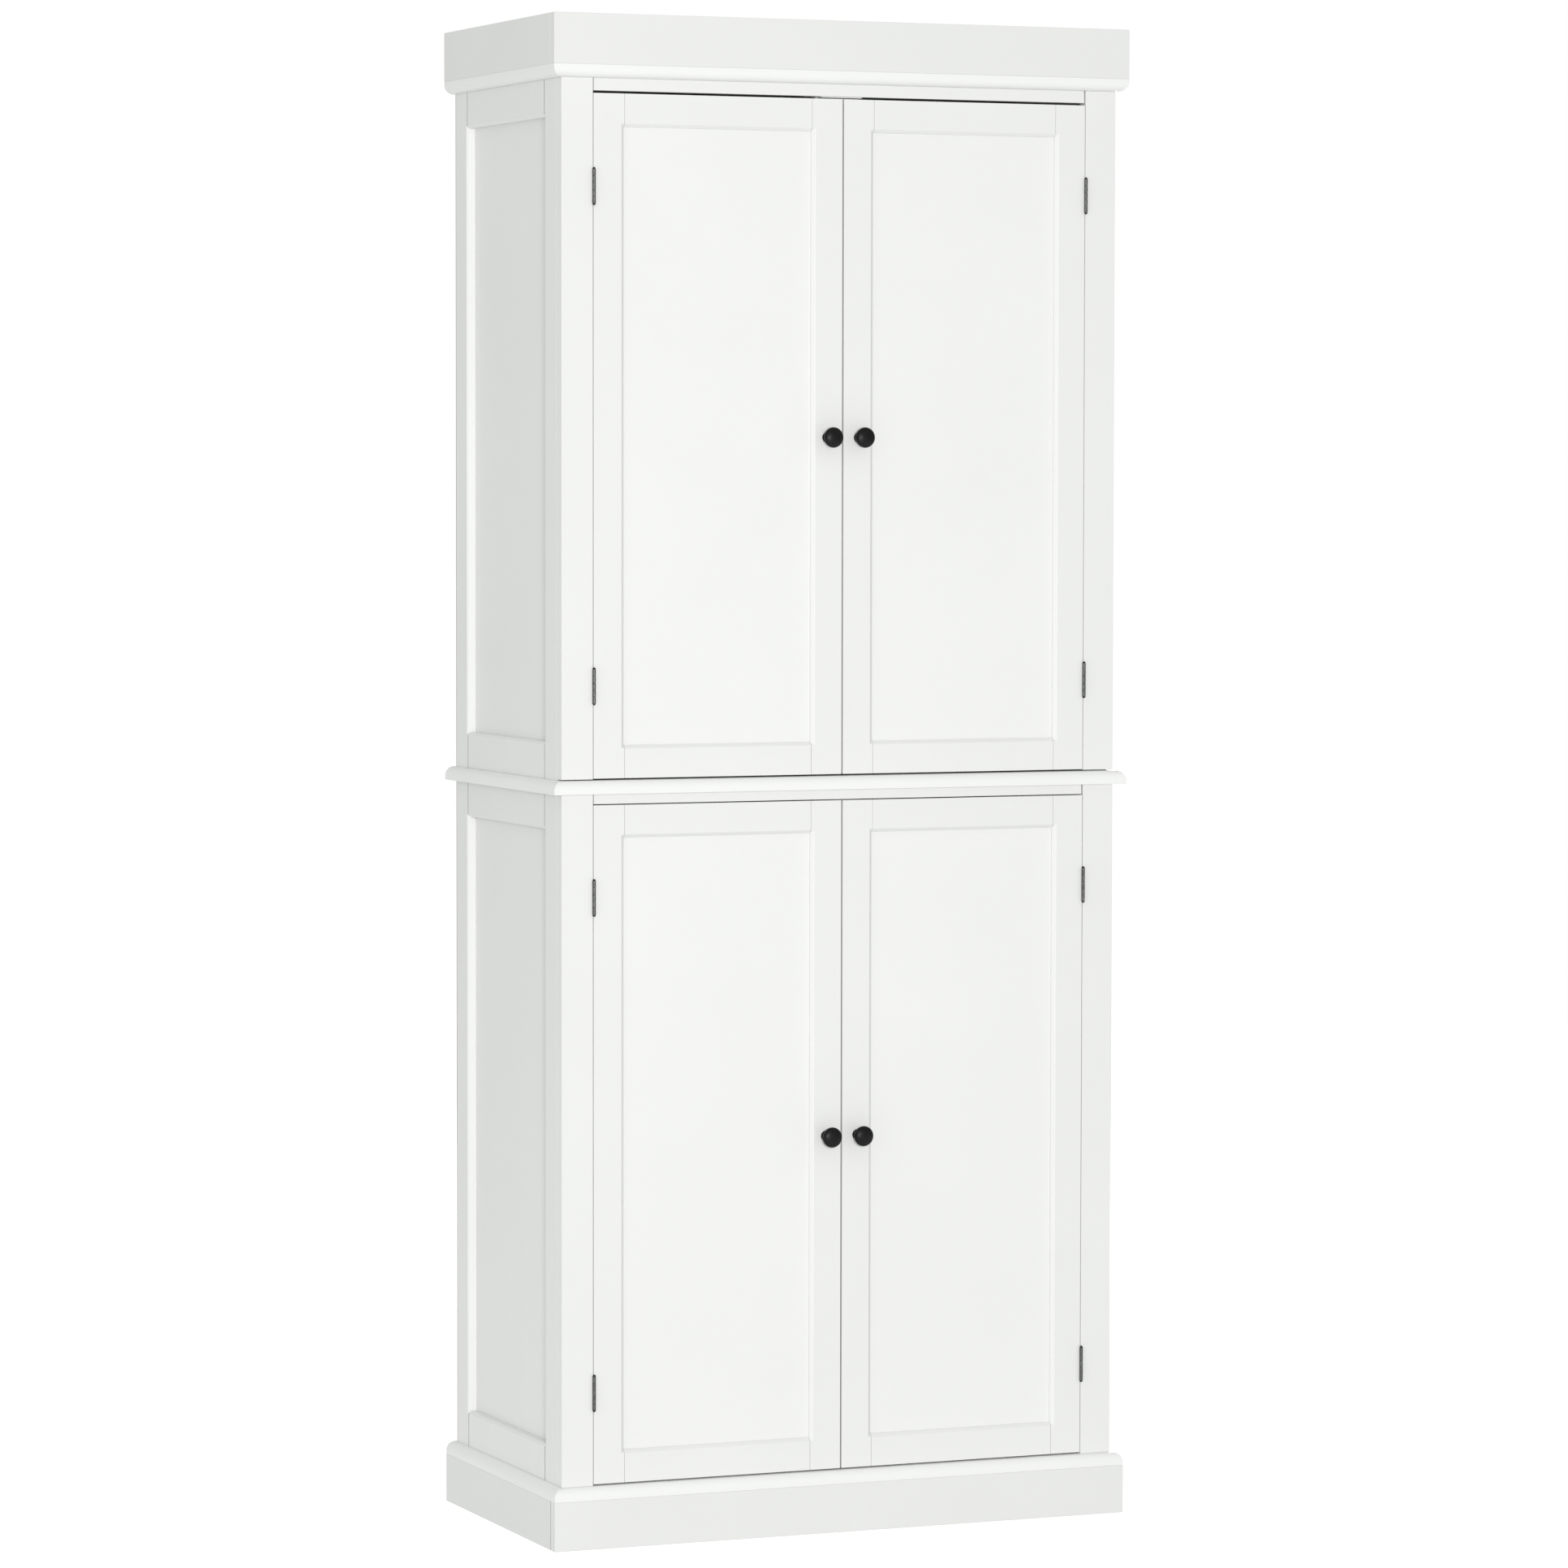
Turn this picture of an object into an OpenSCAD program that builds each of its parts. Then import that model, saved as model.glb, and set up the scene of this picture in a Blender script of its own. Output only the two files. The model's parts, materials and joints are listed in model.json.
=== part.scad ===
// Pantry cabinet with four framed doors, on a plinth, with a waist board and a crown.
// Millimetres, +Z up, the front faces -Y. The origin is at floor level, in the middle
// of the cabinet's footprint, knobs included.

/* [Overall] */
// Width over the mouldings
width = 762; // [640:1:860]
// Depth over the mouldings, without the knobs
depth = 400; // [340:1:480]
// How far the mouldings stand proud of each side
side_inset = 13.5; // [8:0.5:20]
// How far the mouldings stand proud of the front
front_inset = 12; // [8:0.5:18]
// How far the mouldings stand proud of the back
back_inset = 2; // [1:0.5:10]

/* [Heights] */
// Height of the plinth boards
plinth_h = 60; // [40:1:100]
// Thickness of the base board
base_t = 16; // [14:0.5:20]
// Height of the lower carcass
lower_h = 843; // [700:1:900]
// Thickness of the waist board
waist_t = 16.5; // [14:0.5:20]
// Height of the upper carcass
upper_h = 846; // [700:1:900]
// Thickness of the crown board
crown_t = 15.5; // [14:0.5:20]
// Height of the frieze boards
frieze_h = 61; // [40:1:90]
// Radius of the rounded edge on the base, waist and crown boards
moulding_r = 11.5; // [4:0.5:12]

/* [Boards] */
// Thickness of the plinth, frieze and side frame boards
board_t = 15; // [12:0.5:18]
// Thickness of the shelves
shelf_t = 15; // [12:0.5:20]
// Height of the rails at the head of the lower carcass
lower_top_t = 12.5; // [12:0.5:18]
// Height of the rails at the head of the upper carcass
upper_top_t = 15; // [12:0.5:18]
// Thickness of the back panels
back_t = 4; // [3:0.5:6]
// Width of a stile beside the doors
face_stile_w = 40.5; // [30:0.5:60]
// Width of a side frame's stiles
side_stile_w = 42; // [36:1:60]
// Width of a side frame's rails
side_rail_w = 45; // [30:1:70]
// Thickness of a side panel
side_panel_t = 4; // [3:0.5:6]
// Open joint under the upper stiles beside the doors
stile_foot_gap = 1.2; // [0.4:0.1:2]
// Open joint between a side frame's stiles and rails
side_joint = 1; // [0.2:0.1:1.2]

/* [Doors] */
// Thickness of the doors and of the stiles beside them
door_t = 18; // [16:0.5:20]
// Gap between two doors
door_gap = 2; // [2:0.5:4]
// Gap between a door and the stile that it hangs on
hinge_gap = 0.8; // [0.8:0.1:1.6]
// Gap below the lower doors
lower_foot_gap = 1.75; // [1.25:0.25:4]
// Gap above the lower doors
lower_head_gap = 1.25; // [1.25:0.25:4]
// Gap below the upper doors
upper_foot_gap = 2; // [1.25:0.25:4]
// Gap above the upper doors
upper_head_gap = 3; // [2.5:0.25:4]
// Width of a door's stiles
door_stile_w = 40; // [36:1:60]
// Width of a door's rails
door_rail_w = 40; // [30:1:70]
// Thickness of a door's panel
door_panel_t = 6; // [4:0.5:7]
// How far a door's panel lies behind its frame
door_recess = 6.5; // [5:0.5:8]
// Open joint between a door's stiles and rails
door_joint = 0.3; // [0.2:0.1:0.8]

/* [Hardware] */
// Radius of a knob's head
knob_r = 12.5; // [10:0.5:16]
// How far a knob stands out from its door
knob_l = 27; // [22:0.5:32]
// Height of a hinge
hinge_h = 42; // [38:1:64]
// Distance from a door's end to the middle of its hinge
hinge_end = 112; // [80:1:160]
// Radius of a hinge's barrel
barrel_r = 2.1; // [1.9:0.05:2.6]
// Radius of a shelf pin
shelf_pin_r = 2.5; // [2:0.25:3]

/* [Hidden] */
$fn = 48;
eps = 1;

// levels of the stack, from the floor up
z_base = plinth_h;
z_lower = z_base + base_t;
z_waist = z_lower + lower_h;
z_upper = z_waist + waist_t;
z_crown = z_upper + upper_h;
z_frieze = z_crown + crown_t;
z_top = z_frieze + frieze_h;

// planes from the front to the back
knob_proud = knob_l - front_inset;
y_back = (depth + knob_proud) / 2;
y_front = y_back - depth;
y_face = y_front + front_inset;
y_door_back = y_face + door_t;
y_rear = y_back - back_inset;
y_panel = y_rear - back_t;

// planes from the middle to the right-hand side
x_edge = width / 2;
x_out = x_edge - side_inset;
x_in = x_out - board_t;
x_stile = x_out - face_stile_w;
x_hinge = x_stile - hinge_gap / 2;
x_door = x_stile - hinge_gap;
x_meet = door_gap / 2;
door_w = x_door - x_meet;

// door heights
lower_door_z = z_lower + lower_foot_gap;
lower_door_h = lower_h - lower_top_t - lower_foot_gap - lower_head_gap;
upper_door_z = z_upper + upper_foot_gap;
upper_door_h = upper_h - upper_top_t - upper_foot_gap - upper_head_gap;

// side frames
side_y0 = y_door_back;
side_y1 = y_panel;
side_bevel = 3;
side_rebate = 8;
filler_sink = 0.1;
plinth_joint = 0.7;

// doors
door_bevel = 4;
panel_groove = 8;

// rails at the head of a carcass, with a block for the catch
rail_inset = 1.5;
rail_gap = 1.5;
rail_d = 18;
catch_block = [70, 24];

// corner blocks
block = 25;
plinth_block_h = 50;
frieze_block_h = 48;

// knobs
knob_x = x_meet + door_stile_w / 2;
knob_base_r = 6.5;
knob_base_l = 1;
knob_neck_r = 4.5;
knob_neck_l = 8;
knob_rim_l = 19;
knob_rim_r = 2.5;
knob_dome = 5.5;
knob_screw_r = 2;
knob_screw_depth = 12;
knob_screw_head = [4, 2.2];
knob_hole_r = 2.2;
knob_rim_turn = 60;
knob_rim_step = 20;
knob_dome_step = 15;

// hinges
barrel_clearance = 0.25;
y_hinge = y_face - barrel_r - barrel_clearance;
leaf_t = 0.8;
leaf_d = 14;
leaf_x = 0.1;
knuckles = 5;
knuckle_h = hinge_h / knuckles;
knuckle_gap = 0.4;
pin_r = 1.2;
bore_r = 1.25;
pin_tip_r = barrel_r - 0.2;
notch_gap = 0.3;
hinge_screw_z = 13;

// small screws: head radius, head height, shank radius
screw_head_r = 2.6;
screw_head_h = 1.5;
screw_r = 1.2;
hinge_screw_l = 12;
catch_screw_l = 20;
strike_screw_l = 12;

// magnetic catches and strike plates
catch_size = [58, 15, 13];
catch_gap = 1.6;
catch_lip = [54, 14, 1.3];
magnet_size = [16, 8, 6];
magnet_x = 13;
catch_screw_x = 25;
strike_size = [16, 1.2, 12];
strike_edge = 1;

// shelves and the pins under them
shelf_side_gap = 1;
shelf_front_gap = 12;
shelf_back_gap = 2;
lower_shelf_z = z_lower + (lower_h - lower_top_t - shelf_t) / 2;
upper_step = (upper_h - upper_top_t - 2 * shelf_t) / 3;
middle_shelf_z = z_upper + upper_step;
top_shelf_z = z_upper + 2 * upper_step + shelf_t;
shelf_zs = [lower_shelf_z, middle_shelf_z, top_shelf_z];
pin_in = 8;
pin_out = 9;
pin_hole_depth = 9;
pin_pitch = 32;
pin_ys = [side_y0 + side_stile_w / 2, side_y1 - side_stile_w / 2];

// dowels between the side frames and the mouldings
dowel_r = 3;
dowel_low = 18;
dowel_high = 12;
dowel_shift = 8;

// nails in the back panels
nail_r = 0.9;
nail_l = 12;
nail_head_r = 2.6;
nail_head_h = 0.8;
nail_edge = 7;
nail_columns = 6;
nail_row = 4;

paint = "WhiteSmoke";
shadow_paint = "Gainsboro";
steel = "LightSlateGray";
black = "#262626";

// ---- shared shapes ----

// a straight board between two corners
module slab(low, high) {
    translate(low) cube(high - low);
}

// a shape and its mirror image on the other side of the cabinet
module both_sides() {
    children();
    mirror([1, 0, 0]) children();
}

// a shape drawn for the right-hand side, moved to side -1 (left) or 1 (right)
module on_side(side) {
    mirror([side < 0 ? 1 : 0, 0, 0]) children();
}

// what is cut off a long edge to round it: the edge lies on the X axis
module edge_cut(length, r) {
    difference() {
        translate([-eps, -eps, -r]) cube([length + 2 * eps, r + eps, r + eps]);
        translate([-2 * eps, r, -r]) rotate([0, 90, 0]) cylinder(r = r, h = length + 4 * eps);
    }
}

// the same cut along the front edge and both side edges, at the top of a moulding
module moulding_cuts() {
    translate([-x_edge, y_front, 0]) edge_cut(width, moulding_r);
    both_sides() translate([x_edge, y_front, 0]) rotate([0, 0, 90]) edge_cut(depth, moulding_r);
}

// a moulding board with its front and side edges rounded on one face
module moulding_board(z, t, rounded_up) {
    difference() {
        slab([-x_edge, y_front, z], [x_edge, y_back, z + t]);
        if (rounded_up) translate([0, 0, z + t]) moulding_cuts();
        else translate([0, 0, z]) mirror([0, 0, 1]) moulding_cuts();
    }
}

// a bevelled opening of w by h, cut into a face that lies in the XY plane
module bevel_pocket(w, h, b) {
    reach = b + eps;
    intersection() {
        translate([0, h + reach, 0]) rotate([90, 0, 0]) linear_extrude(h + 2 * reach)
            polygon([[-reach, eps], [w + reach, eps], [w, -b], [0, -b]]);
        translate([-reach, 0, 0]) rotate([90, 0, 90]) linear_extrude(w + 2 * reach)
            polygon([[-reach, eps], [h + reach, eps], [h, -b], [0, -b]]);
    }
}

// a small countersunk screw, its head at the origin and its point along +Z
module wood_screw(length) {
    cylinder(r1 = screw_head_r, r2 = screw_r, h = screw_head_h);
    cylinder(r = screw_r, h = length);
}

// a round dowel standing across a joint at height z
module dowel(x, y, z, below, above) {
    translate([x, y, z - below]) cylinder(r = dowel_r, h = below + above);
}

// a nail driven forward from the back face
module nail(x, z) {
    translate([x, y_rear, z]) rotate([-90, 0, 0]) cylinder(r = nail_head_r, h = nail_head_h);
    translate([x, y_rear, z]) rotate([90, 0, 0]) cylinder(r = nail_r, h = nail_l);
}

// ---- fasteners that several boards share ----

// dowels at the foot and the head of one carcass
module carcass_dowels(z0, h) {
    for (y = pin_ys) both_sides() {
        dowel(x_out - board_t / 2, y + dowel_shift, z0, dowel_high, dowel_low);
        dowel(x_out - board_t / 2, y - dowel_shift, z0 + h, dowel_low, dowel_high);
    }
}

// nails up both edges and along the top of one back panel
module panel_nails(z0, h, top_t) {
    step = (h - top_t - 2 * nail_edge) / (nail_columns - 1);
    for (i = [0 : nail_columns - 1]) both_sides() nail(x_out - nail_edge, z0 + nail_edge + i * step);
    across = 2 * x_in / nail_row;
    for (i = [0 : nail_row - 1]) nail(-x_in + across / 2 + i * across, z0 + h - top_t / 2);
}

// the middles of a door's two hinges
function hinge_zs(z0, h) = [z0 + hinge_end, z0 + h - hinge_end];

// both screws of a leaf, driven away from the gap; way is 1 for the frame, -1 for the door
module leaf_screws(z, way) {
    for (dz = [-hinge_screw_z, hinge_screw_z])
        translate([x_hinge + way * leaf_x, y_face + leaf_d / 2, z + dz]) rotate([0, way * 90, 0])
            wood_screw(hinge_screw_l);
}

// the plate of a leaf, set to one side of the hinge's axis; way is 1 for the frame, -1 for the door
module leaf_plate(z, way) {
    x = x_hinge + way * (leaf_x + leaf_t / 2);
    slab([x - leaf_t / 2, y_hinge, z - hinge_h / 2], [x + leaf_t / 2, y_face + leaf_d, z + hinge_h / 2]);
}

// screws of one catch, from below into a rail whose underside is at z
module catch_screw_pair(z) {
    both_sides() translate([catch_screw_x, y_door_back + catch_gap + catch_size[1] / 2, z - catch_size[2]])
        wood_screw(catch_screw_l);
}

// shelf pins under one shelf, on the right-hand side
module pin_pair(z) {
    for (y = pin_ys) translate([x_in + pin_in, y, z - shelf_pin_r]) rotate([0, -90, 0])
        cylinder(r = shelf_pin_r, h = pin_in + pin_out);
}

// the row of adjusting holes for one shelf, on the right-hand side
module pin_holes(z) {
    for (y = pin_ys, k = [-1 : 1])
        translate([x_in + pin_hole_depth, y, z - shelf_pin_r + k * pin_pitch]) rotate([0, -90, 0])
            cylinder(r = shelf_pin_r, h = pin_hole_depth + eps);
}

// ---- plinth and frieze ----

module ring_front(z, h) {
    slab([-x_edge, y_front, z], [x_edge, y_front + board_t, z + h]);
}

module ring_sides(z, h, joint) {
    both_sides() slab([x_edge - board_t, y_front + board_t + joint, z], [x_edge, y_back, z + h]);
}

module ring_back(z, h) {
    slab([-x_edge + board_t, y_back - board_t, z], [x_edge - board_t, y_back, z + h]);
}

module ring_blocks(z, h) {
    x = x_edge - board_t;
    both_sides() {
        slab([x - block, y_front + board_t, z], [x, y_front + board_t + block, z + h]);
        slab([x - block, y_back - board_t - block, z], [x, y_back - board_t, z + h]);
    }
}

module plinth_front() {
    color(paint) ring_front(0, plinth_h);
}

module plinth_sides() {
    color(paint) ring_sides(0, plinth_h, plinth_joint);
}

module plinth_back() {
    color(shadow_paint) ring_back(0, plinth_h);
}

module corner_blocks() {
    color("BurlyWood") {
        ring_blocks(z_base - plinth_block_h, plinth_block_h);
        ring_blocks(z_frieze, frieze_block_h);
    }
}

module frieze_front() {
    color(paint) ring_front(z_frieze, frieze_h);
}

module frieze_sides() {
    color(paint) ring_sides(z_frieze, frieze_h, 0);
}

module frieze_back() {
    color(shadow_paint) ring_back(z_frieze, frieze_h);
}

// ---- mouldings ----

module base_board() {
    color(paint) difference() {
        moulding_board(z_base, base_t, true);
        carcass_dowels(z_lower, lower_h);
    }
}

module waist_board() {
    color(paint) difference() {
        moulding_board(z_waist, waist_t, true);
        carcass_dowels(z_lower, lower_h);
        carcass_dowels(z_upper, upper_h);
    }
}

module crown_board() {
    color(paint) difference() {
        moulding_board(z_crown, crown_t, false);
        carcass_dowels(z_upper, upper_h);
    }
}

// ---- carcass ----

// the stiles beside the doors, cut out for their hinge leaves and screws
module face_stiles(z0, z1, hinge_heights) {
    both_sides() difference() {
        slab([x_stile, y_face, z0], [x_out, y_door_back, z1]);
        for (z = hinge_heights) leaf_plate(z, 1);
        for (z = hinge_heights) leaf_screws(z, 1);
    }
}

module lower_front_stiles() {
    color(paint) face_stiles(z_lower, z_waist, hinge_zs(lower_door_z, lower_door_h));
}

module upper_front_stiles() {
    color(paint) face_stiles(z_upper + stile_foot_gap, z_crown, hinge_zs(upper_door_z, upper_door_h));
}

// the thin panel of a side, let into a rebate on the inner face of its frame
module side_panel(z0, h) {
    slab([x_in, side_y0 + side_stile_w - side_rebate, z0 + side_rail_w - side_rebate],
         [x_in + side_panel_t, side_y1 - side_stile_w + side_rebate, z0 + h - side_rail_w + side_rebate]);
}

// two stiles and two rails with a bevelled inner edge
module side_frame(z0, h, shelf_heights) {
    ya = side_y0 + side_stile_w;
    yb = side_y1 - side_stile_w;
    difference() {
        union() {
            slab([x_in, side_y0, z0], [x_out, ya, z0 + h]);
            slab([x_in, yb, z0], [x_out, side_y1, z0 + h]);
            slab([x_in, ya + side_joint, z0], [x_out, yb - side_joint, z0 + side_rail_w]);
            slab([x_in, ya + side_joint, z0 + h - side_rail_w], [x_out, yb - side_joint, z0 + h]);
        }
        translate([x_out, ya, z0 + side_rail_w]) rotate([90, 0, 90])
            bevel_pocket(yb - ya, h - 2 * side_rail_w, side_bevel);
        side_panel(z0, h);
        carcass_dowels(z0, h);
        for (z = shelf_heights) pin_holes(z);
    }
}

// the dark filler in the joints of a side frame, on the right-hand side
module frame_filler(z0, h) {
    filler_h = side_rail_w - side_bevel;
    for (y = [side_y0 + side_stile_w, side_y1 - side_stile_w - side_joint], z = [z0, z0 + h - filler_h])
        slab([x_in + side_panel_t + eps, y, z], [x_out - filler_sink, y + side_joint, z + filler_h]);
}

// the same filler between the plinth's front and side boards
module plinth_filler() {
    y = y_front + board_t;
    slab([x_edge - board_t, y, eps], [x_edge - filler_sink, y + plinth_joint, plinth_h]);
}

module joint_filler() {
    color("DimGray") both_sides() {
        frame_filler(z_lower, lower_h);
        frame_filler(z_upper, upper_h);
        plinth_filler();
    }
}

module lower_side_frame(side) {
    color(paint) on_side(side) difference() {
        side_frame(z_lower, lower_h, [lower_shelf_z]);
        panel_nails(z_lower, lower_h, lower_top_t);
    }
}

module upper_side_frame(side) {
    color(paint) on_side(side) difference() {
        side_frame(z_upper, upper_h, [middle_shelf_z, top_shelf_z]);
        panel_nails(z_upper, upper_h, upper_top_t);
    }
}

module lower_side_panel(side) {
    color(shadow_paint) on_side(side) side_panel(z_lower, lower_h);
}

module upper_side_panel(side) {
    color(shadow_paint) on_side(side) side_panel(z_upper, upper_h);
}

// the rails at the head of a carcass: the front one shows above the doors, and has the catch's block
module top_rails(z, t) {
    difference() {
        union() {
            slab([-x_stile + rail_gap, y_face + rail_inset, z],
                 [x_stile - rail_gap, y_face + rail_inset + rail_d, z + t]);
            slab([-catch_block[0] / 2, y_face + rail_inset, z],
                 [catch_block[0] / 2, y_door_back + catch_block[1], z + t]);
            slab([-x_in, y_panel - rail_d, z], [x_in, y_panel, z + t]);
        }
        catch_screw_pair(z);
    }
}

module lower_top_rails() {
    color(paint) difference() {
        top_rails(z_waist - lower_top_t, lower_top_t);
        panel_nails(z_lower, lower_h, lower_top_t);
    }
}

module upper_top_rails() {
    color(paint) difference() {
        top_rails(z_crown - upper_top_t, upper_top_t);
        panel_nails(z_upper, upper_h, upper_top_t);
    }
}

module back_panel(z0, h, top_t) {
    difference() {
        slab([-x_out + eps, y_panel, z0], [x_out - eps, y_rear, z0 + h]);
        panel_nails(z0, h, top_t);
    }
}

module lower_back_panel() {
    color(shadow_paint) back_panel(z_lower, lower_h, lower_top_t);
}

module upper_back_panel() {
    color(shadow_paint) back_panel(z_upper, upper_h, upper_top_t);
}

module back_panel_nails() {
    color(steel) {
        panel_nails(z_lower, lower_h, lower_top_t);
        panel_nails(z_upper, upper_h, upper_top_t);
    }
}

module dowels() {
    color("BurlyWood") {
        carcass_dowels(z_lower, lower_h);
        carcass_dowels(z_upper, upper_h);
    }
}

// ---- shelves ----

module shelf(z) {
    color(paint) slab([-x_in + shelf_side_gap, y_door_back + shelf_front_gap, z],
                      [x_in - shelf_side_gap, y_panel - shelf_back_gap, z + shelf_t]);
}

module shelf_pins() {
    color(steel) both_sides() for (z = shelf_zs) pin_pair(z);
}

// ---- catches ----

// one magnet of a catch, on the right-hand side, for a rail whose underside is at z
module magnet(z) {
    translate([magnet_x - magnet_size[0] / 2, y_door_back + catch_gap,
               z - (catch_size[2] + magnet_size[2]) / 2]) cube(magnet_size);
}

module catch_housing(z) {
    difference() {
        translate([-catch_size[0] / 2, y_door_back + catch_gap, z - catch_size[2]]) cube(catch_size);
        both_sides() magnet(z);
        catch_screw_pair(z);
    }
}

// the thin lip of the upper catch, which lies in the gap above the doors
module catch_front_lip(z) {
    translate([-catch_lip[0] / 2, y_door_back + catch_gap - catch_lip[1], z - catch_lip[2]])
        cube(catch_lip + [0, eps, 0]);
}

module magnetic_catches() {
    color("White") {
        catch_housing(z_waist - lower_top_t);
        catch_housing(z_crown - upper_top_t);
        catch_front_lip(z_crown - upper_top_t);
    }
}

module catch_magnets() {
    color("DimGray") for (z = [z_waist - lower_top_t, z_crown - upper_top_t]) both_sides() magnet(z);
}

// ---- hinges ----

// the knuckles of one leaf: the first one's number, then every second one
module hinge_knuckles(first) {
    for (i = [first : 2 : knuckles - 1])
        translate([x_hinge, y_hinge, i * knuckle_h + knuckle_gap / 2])
            cylinder(r = barrel_r, h = knuckle_h - knuckle_gap);
}

// the room that one leaf leaves for the other one's knuckles
module knuckle_notches(first) {
    for (i = [first : 2 : knuckles - 1])
        slab([x_hinge - 2 * barrel_r, y_hinge - 2 * barrel_r, i * knuckle_h - knuckle_gap / 2],
             [x_hinge + 2 * barrel_r, y_face + notch_gap, (i + 1) * knuckle_h + knuckle_gap / 2]);
}

// one leaf of a hinge: its plate and knuckles; way is 1 for the frame, -1 for the door
module hinge_leaf(z, way) {
    first = way > 0 ? 0 : 1;
    foot = [0, 0, z - hinge_h / 2];
    difference() {
        union() {
            leaf_plate(z, way);
            translate(foot) hinge_knuckles(first);
        }
        translate(foot) knuckle_notches(1 - first);
        translate(foot + [x_hinge, y_hinge, -eps]) cylinder(r = bore_r, h = hinge_h + 2 * eps);
        leaf_screws(z, way);
    }
}

// a hinge pin with a rounded tip above and below the barrel
module hinge_pin(z) {
    translate([x_hinge, y_hinge, z - hinge_h / 2]) {
        cylinder(r = pin_r, h = hinge_h);
        for (end = [[0, 1], [hinge_h, -1]]) translate([0, 0, end[0]]) difference() {
            sphere(r = pin_tip_r);
            translate([-barrel_r, -barrel_r, end[1] > 0 ? 0 : -2 * barrel_r]) cube(2 * barrel_r);
        }
    }
}

all_hinge_zs = concat(hinge_zs(lower_door_z, lower_door_h), hinge_zs(upper_door_z, upper_door_h));

module hinge_frame_leaves() {
    color(steel) both_sides() for (z = all_hinge_zs) hinge_leaf(z, 1);
}

module hinge_pins() {
    color(steel) both_sides() for (z = all_hinge_zs) hinge_pin(z);
}

module carcass_screws() {
    color(steel) {
        both_sides() for (z = all_hinge_zs) leaf_screws(z, 1);
        for (z = [z_waist - lower_top_t, z_crown - upper_top_t]) catch_screw_pair(z);
    }
}

// ---- doors, drawn for the right-hand side ----

module door_panel(z0, h) {
    slab([x_meet + door_stile_w - panel_groove, y_face + door_recess, z0 + door_rail_w - panel_groove],
         [x_door - door_stile_w + panel_groove, y_face + door_recess + door_panel_t,
          z0 + h - door_rail_w + panel_groove]);
}

// the screw that holds a knob, from the back of the door
module knob_screw(z) {
    translate([knob_x, y_door_back, z]) {
        rotate([-90, 0, 0]) cylinder(r = knob_screw_head[0], h = knob_screw_head[1]);
        rotate([90, 0, 0]) cylinder(r = knob_screw_r, h = door_t + knob_screw_depth);
    }
}

// the lower left corner of a strike plate
function strike_corner(z0, h) = [magnet_x - strike_size[0] / 2, y_door_back,
                                 z0 + h - strike_edge - strike_size[2]];

module strike_screw(z0, h) {
    translate(strike_corner(z0, h) + [strike_size[0] / 2, strike_size[1], strike_size[2] / 2])
        rotate([90, 0, 0]) wood_screw(strike_screw_l);
}

module door_frame(z0, h) {
    xa = x_meet + door_stile_w;
    xb = x_door - door_stile_w;
    difference() {
        union() {
            slab([x_meet, y_face, z0], [xa, y_door_back, z0 + h]);
            slab([xb, y_face, z0], [x_door, y_door_back, z0 + h]);
            slab([xa + door_joint, y_face, z0], [xb - door_joint, y_door_back, z0 + door_rail_w]);
            slab([xa + door_joint, y_face, z0 + h - door_rail_w], [xb - door_joint, y_door_back, z0 + h]);
        }
        translate([xa, y_face, z0 + door_rail_w]) rotate([90, 0, 0])
            bevel_pocket(xb - xa, h - 2 * door_rail_w, door_bevel);
        door_panel(z0, h);
        for (z = hinge_zs(z0, h)) leaf_plate(z, -1);
        for (z = hinge_zs(z0, h)) leaf_screws(z, -1);
        translate([knob_x, y_face - eps, z0 + h / 2]) rotate([-90, 0, 0])
            cylinder(r = knob_hole_r, h = door_t + 2 * eps);
        strike_screw(z0, h);
    }
}

// a knob's outline from its foot to the middle of its domed head
knob_outline = concat(
    [[0, 0], [knob_base_r, 0], [knob_base_r, knob_base_l], [knob_neck_r, knob_neck_l]],
    [for (a = [-knob_rim_turn : knob_rim_step : knob_rim_turn])
        [knob_r - knob_rim_r + knob_rim_r * cos(a), knob_rim_l + knob_rim_r * (1 + sin(a))]],
    [for (a = [knob_rim_turn : -knob_dome_step : 0])
        [(knob_r - knob_rim_r) * sin(a), knob_l - knob_dome * (1 - cos(a))]]
);

module knob(z) {
    translate([knob_x, y_face, z]) rotate([90, 0, 0]) difference() {
        rotate_extrude() polygon(knob_outline);
        translate([0, 0, -eps]) cylinder(r = knob_screw_r, h = knob_screw_depth + eps);
    }
}

module strike_plate(z0, h) {
    difference() {
        translate(strike_corner(z0, h)) cube(strike_size);
        strike_screw(z0, h);
    }
}

module door_screws(z0, h) {
    for (z = hinge_zs(z0, h)) leaf_screws(z, -1);
    strike_screw(z0, h);
    knob_screw(z0 + h / 2);
}

// the parts of one door, each in its place on side -1 (left) or 1 (right)
module door_frame_at(side, z0, h) {
    color(paint) on_side(side) door_frame(z0, h);
}

module door_panel_at(side, z0, h) {
    color(shadow_paint) on_side(side) door_panel(z0, h);
}

module knob_at(side, z0, h) {
    color(black) on_side(side) knob(z0 + h / 2);
}

module hinge_leaves_at(side, z0, h) {
    color(steel) on_side(side) for (z = hinge_zs(z0, h)) hinge_leaf(z, -1);
}

module strike_plate_at(side, z0, h) {
    color(steel) on_side(side) strike_plate(z0, h);
}

module door_screws_at(side, z0, h) {
    color(steel) on_side(side) door_screws(z0, h);
}

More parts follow.
